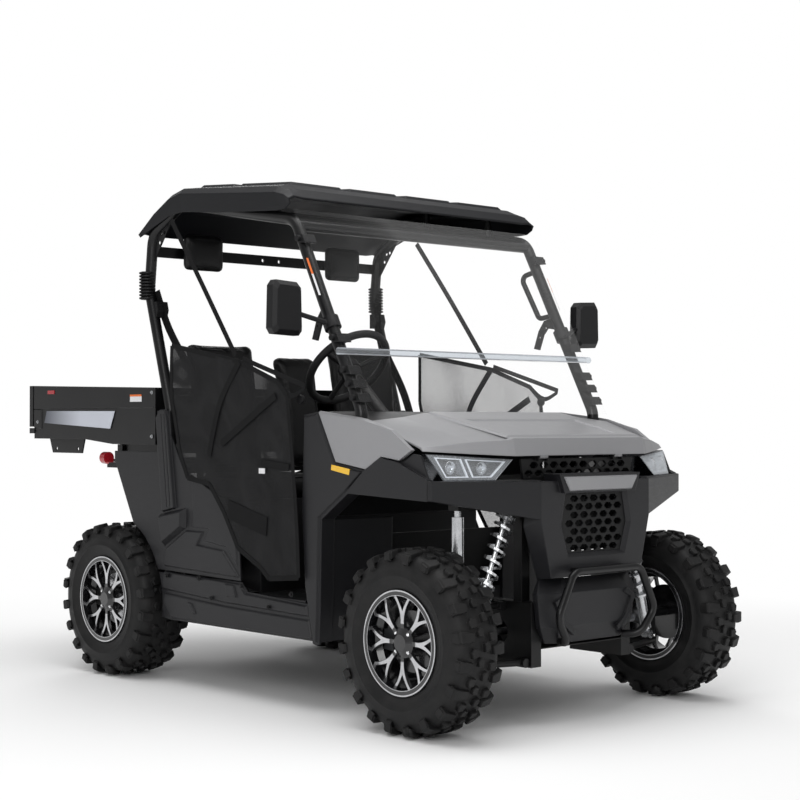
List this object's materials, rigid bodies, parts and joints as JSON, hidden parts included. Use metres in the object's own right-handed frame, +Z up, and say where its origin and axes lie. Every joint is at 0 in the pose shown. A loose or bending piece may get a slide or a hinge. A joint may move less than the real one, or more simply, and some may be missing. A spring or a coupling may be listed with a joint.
{
  "type": "side by side utv",
  "caption": "Two-seat utility vehicle with roll cage, moulded roof, folding clear screen, side nets, steered front wheels and a tipping cargo bed with drop tailgate.",
  "frame": {"origin": "on the ground below the middle of the vehicle's length and width", "axes": "+X forward, +Y to the driver's left, +Z up"},
  "size_m": [2.8776, 1.752, 2.0157],
  "materials": {
    "charcoal_plastic": "moulded, fine grain",
    "bed_steel": "black textured coat",
    "black_steel": "black powder coat",
    "bare_metal": "cast and machined",
    "lamp_glass": "clear lens",
    "seat_vinyl": "grained vinyl",
    "silver_plastic": "satin silver",
    "alloy": "machined face, black enamel behind",
    "net_fabric": "woven mesh",
    "soft_grip": "soft grip",
    "lamp_red": "clear red",
    "tyre_rubber": "moulded",
    "clear_sheet": "clear sheet"
  },
  "bodies": {
    "chassis": {"bash_plate": "charcoal_plastic", "bull_bar": "black_steel", "cab_floor": "charcoal_plastic", "cowl_panels": "charcoal_plastic", "dash": "charcoal_plastic", "engine": "bare_metal", "fold_rail": "bare_metal", "front_arms": "black_steel", "front_bumper": "charcoal_plastic", "front_diff": "bare_metal", "front_fenders": "charcoal_plastic", "grab_handle": "black_steel", "grilles": "charcoal_plastic", "half_shafts": "bare_metal", "headlamps": "lamp_glass", "headrests": "seat_vinyl", "hitch": "black_steel", "hood_wings": "silver_plastic", "main_frame": "black_steel", "mirrors": "charcoal_plastic", "nose_plate": "silver_plastic", "pedals": "black_steel", "rear_arms": "black_steel", "rear_fenders": "charcoal_plastic", "rear_side_panels": "charcoal_plastic", "rocker_panels": "charcoal_plastic", "roll_cage": "black_steel", "roof": "charcoal_plastic", "screen_clamps": "charcoal_plastic", "seat_backs": "seat_vinyl", "seat_base": "charcoal_plastic", "seat_cushions": "seat_vinyl", "shocks": "bare_metal", "side_nets": "net_fabric", "skid_plate": "charcoal_plastic", "steering_column": "black_steel", "steering_rack": "bare_metal", "tail_lamps": "lamp_red", "windscreen": "clear_sheet"},
    "hood": {"hood": "silver_plastic"},
    "steering_wheel": {"steering_wheel": "soft_grip"},
    "rack": {"tie_rods": "bare_metal"},
    "knuckle_right": {"knuckle_right": "bare_metal"},
    "knuckle_left": {"knuckle_left": "bare_metal"},
    "bed": {"bed": "bed_steel"},
    "tailgate": {"tailgate": "bed_steel"},
    "wheel_front_right": {"tyre_front_right": "tyre_rubber", "rim_front_right": "alloy"},
    "wheel_front_left": {"tyre_front_left": "tyre_rubber", "rim_front_left": "alloy"},
    "wheel_rear_right": {"tyre_rear_right": "tyre_rubber", "rim_rear_right": "alloy"},
    "wheel_rear_left": {"tyre_rear_left": "tyre_rubber", "rim_rear_left": "alloy"}
  },
  "joints": [
    {"name": "steer_right", "type": "hinge", "parent": "chassis", "child": "knuckle_right", "pos_m": [1.12125, -0.556, 0.3175], "axis": [0, 0, 1], "range_deg": [-30, 30]},
    {"name": "steer_left", "type": "hinge", "parent": "chassis", "child": "knuckle_left", "pos_m": [1.12125, 0.556, 0.3175], "axis": [0, 0, 1], "range_deg": [-30, 30]},
    {"name": "steering_wheel_turn", "type": "hinge", "parent": "chassis", "child": "steering_wheel", "pos_m": [0.34725, -0.3, 1.27], "axis": [-0.7431, 0, 0.6691], "range_deg": [-451, 451]},
    {"name": "rack_slide", "type": "slide", "parent": "chassis", "child": "rack", "axis": [0, 1, 0], "range_m": [-0.0556, 0.0556]},
    {"name": "spin_front_right", "type": "hinge", "parent": "knuckle_right", "child": "wheel_front_right", "pos_m": [1.12125, -0.65, 0.3175], "axis": [0, 1, 0], "continuous": true},
    {"name": "spin_front_left", "type": "hinge", "parent": "knuckle_left", "child": "wheel_front_left", "pos_m": [1.12125, 0.65, 0.3175], "axis": [0, 1, 0], "continuous": true},
    {"name": "spin_rear_right", "type": "hinge", "parent": "chassis", "child": "wheel_rear_right", "pos_m": [-0.74875, -0.6, 0.3175], "axis": [0, 1, 0], "continuous": true},
    {"name": "spin_rear_left", "type": "hinge", "parent": "chassis", "child": "wheel_rear_left", "pos_m": [-0.74875, 0.6, 0.3175], "axis": [0, 1, 0], "continuous": true},
    {"name": "hood_lift", "type": "hinge", "parent": "chassis", "child": "hood", "pos_m": [1.27725, 0, 0.937], "axis": [0, 1, 0], "range_deg": [0, 60]},
    {"name": "bed_tip", "type": "hinge", "parent": "chassis", "child": "bed", "pos_m": [-1.30875, 0, 0.936], "axis": [0, -1, 0], "range_deg": [0, 45]},
    {"name": "tailgate_drop", "type": "hinge", "parent": "bed", "child": "tailgate", "pos_m": [-1.43075, 0, 1.02], "axis": [0, -1, 0], "range_deg": [0, 90]}
  ],
  "couplings": [
    {"joint": "steer_left", "follows": "steer_right", "ratio": 1},
    {"joint": "steering_wheel_turn", "follows": "steer_right", "ratio": 15},
    {"joint": "rack_slide", "follows": "steer_right", "m_per_rad": -0.105}
  ]
}
